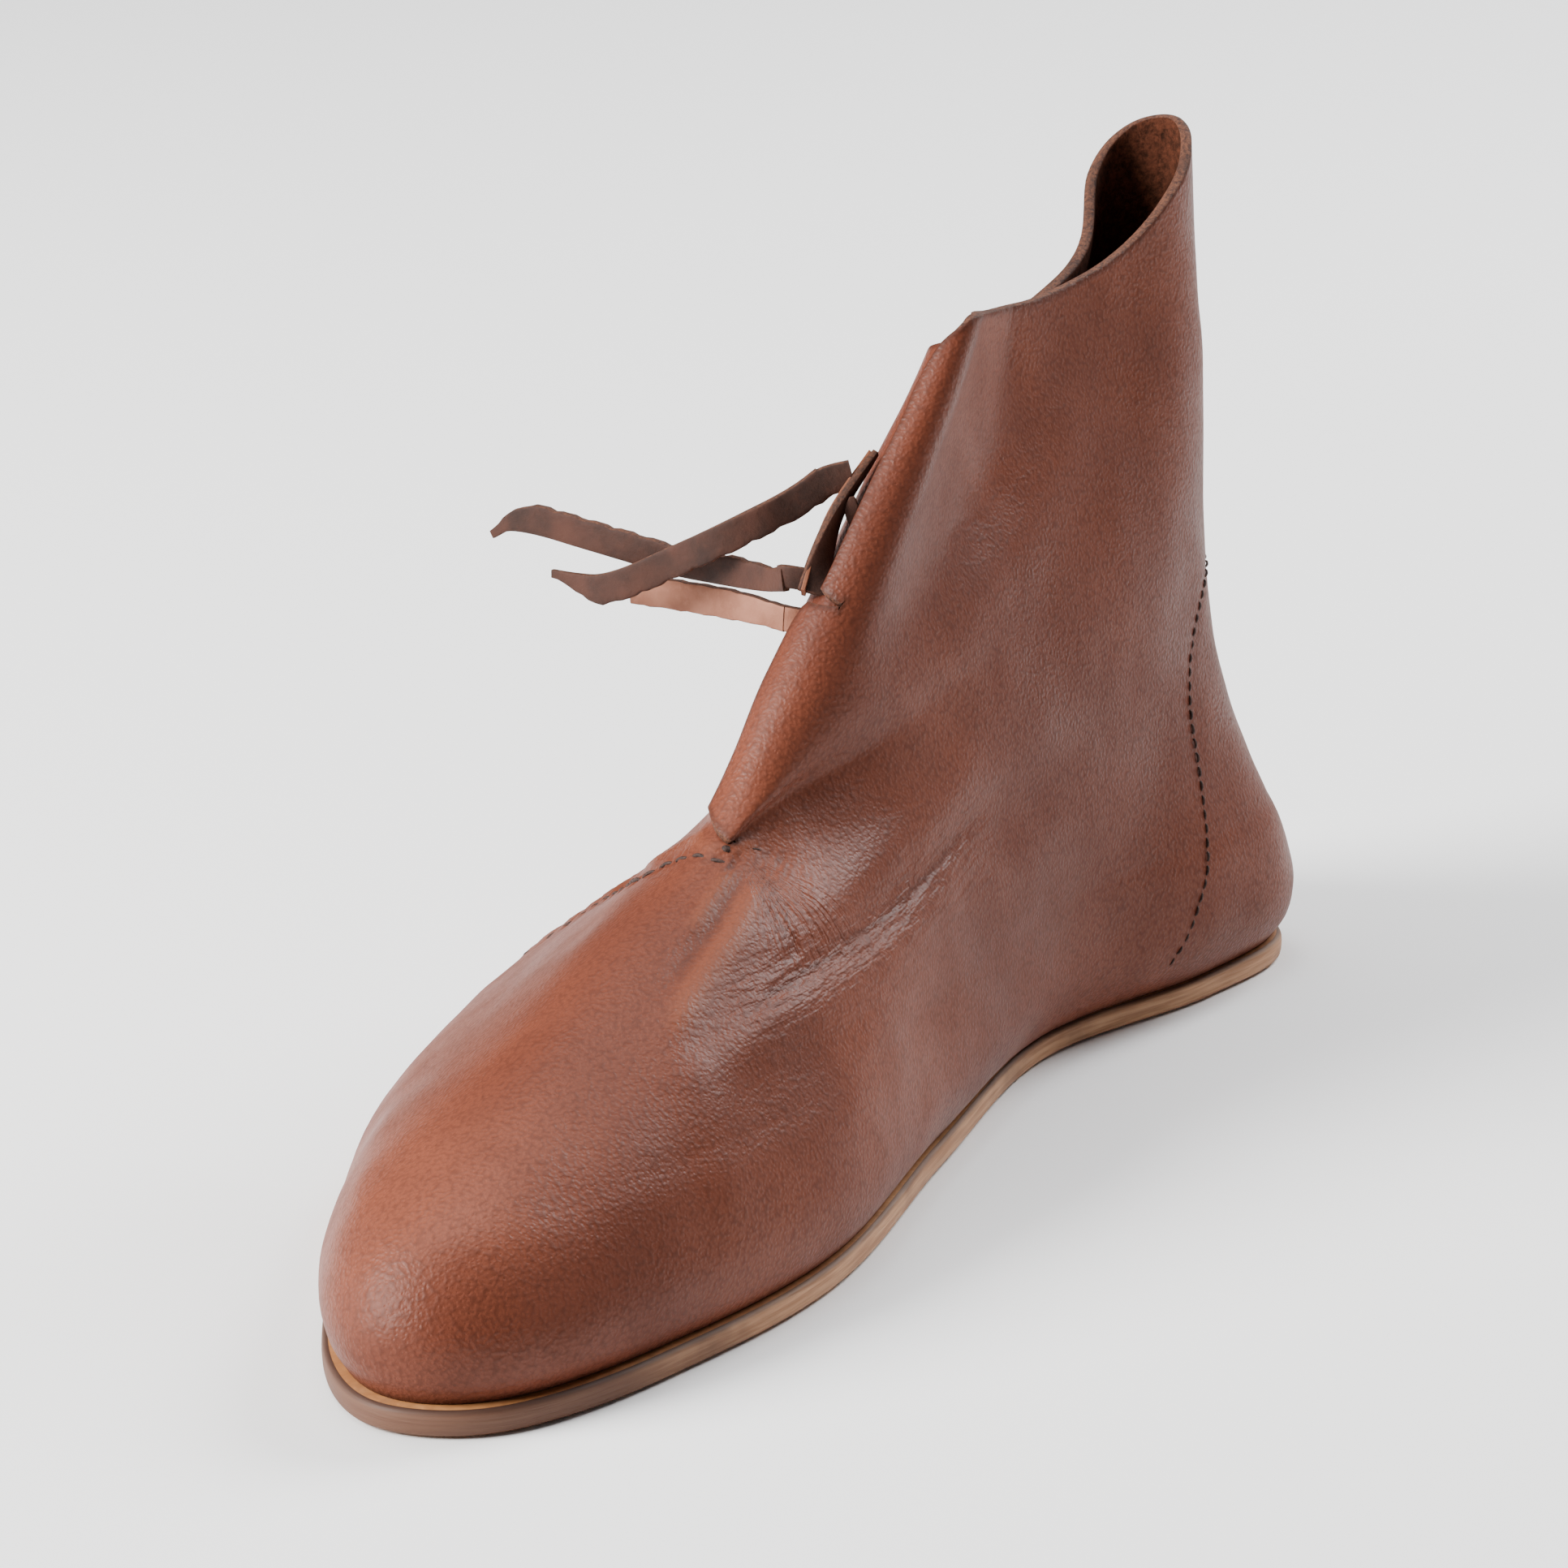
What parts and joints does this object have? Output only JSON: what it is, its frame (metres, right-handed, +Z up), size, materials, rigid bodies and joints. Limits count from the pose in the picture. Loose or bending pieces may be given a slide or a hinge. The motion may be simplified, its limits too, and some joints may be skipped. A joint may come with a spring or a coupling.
{
  "type": "viking shoe",
  "caption": "Ankle-high early medieval leather shoe for the right foot: flat nailed leather sole, turned-over front flap closed with a leather thong, hollow inside, open collar",
  "frame": {"origin": "on the ground, under the middle of the shoe's length and width, without the free ends of the thong", "axes": "+X from heel to toe, +Y to the inner side of the right foot, +Z up"},
  "size_m": [0.2826, 0.1106, 0.154],
  "materials": {
    "sole_leather": "tan vegetable-tanned sole leather, pebbled grain, scuffed",
    "upper_leather": "reddish-brown smooth grain leather, satin",
    "insole_leather": "brown unfinished leather",
    "nail_iron": "dull grey-brown iron, filed flush",
    "thong_leather": "dark brown leather strip, cut edges"
  },
  "bodies": {
    "root": {"outsole": "sole_leather", "upper": "upper_leather", "insole": "insole_leather", "nail_01": "nail_iron", "nail_02": "nail_iron", "nail_03": "nail_iron", "nail_04": "nail_iron", "nail_05": "nail_iron", "nail_06": "nail_iron", "nail_07": "nail_iron", "nail_08": "nail_iron", "nail_09": "nail_iron", "nail_10": "nail_iron", "nail_11": "nail_iron", "nail_12": "nail_iron", "nail_13": "nail_iron", "nail_14": "nail_iron", "nail_15": "nail_iron", "nail_16": "nail_iron", "nail_17": "nail_iron", "nail_18": "nail_iron", "nail_19": "nail_iron", "nail_20": "nail_iron", "nail_21": "nail_iron", "nail_22": "nail_iron", "nail_23": "nail_iron", "nail_24": "nail_iron", "nail_25": "nail_iron", "nail_26": "nail_iron", "nail_27": "nail_iron", "nail_28": "nail_iron", "nail_29": "nail_iron", "nail_30": "nail_iron", "nail_31": "nail_iron", "nail_32": "nail_iron", "nail_33": "nail_iron", "nail_34": "nail_iron", "nail_35": "nail_iron", "nail_36": "nail_iron", "nail_37": "nail_iron", "nail_38": "nail_iron", "nail_39": "nail_iron", "nail_40": "nail_iron", "nail_41": "nail_iron", "thong_bar": "thong_leather", "thong_end_upper": "thong_leather", "thong_end_lower": "thong_leather", "thong_end_back": "thong_leather"}
  },
  "joints": []
}
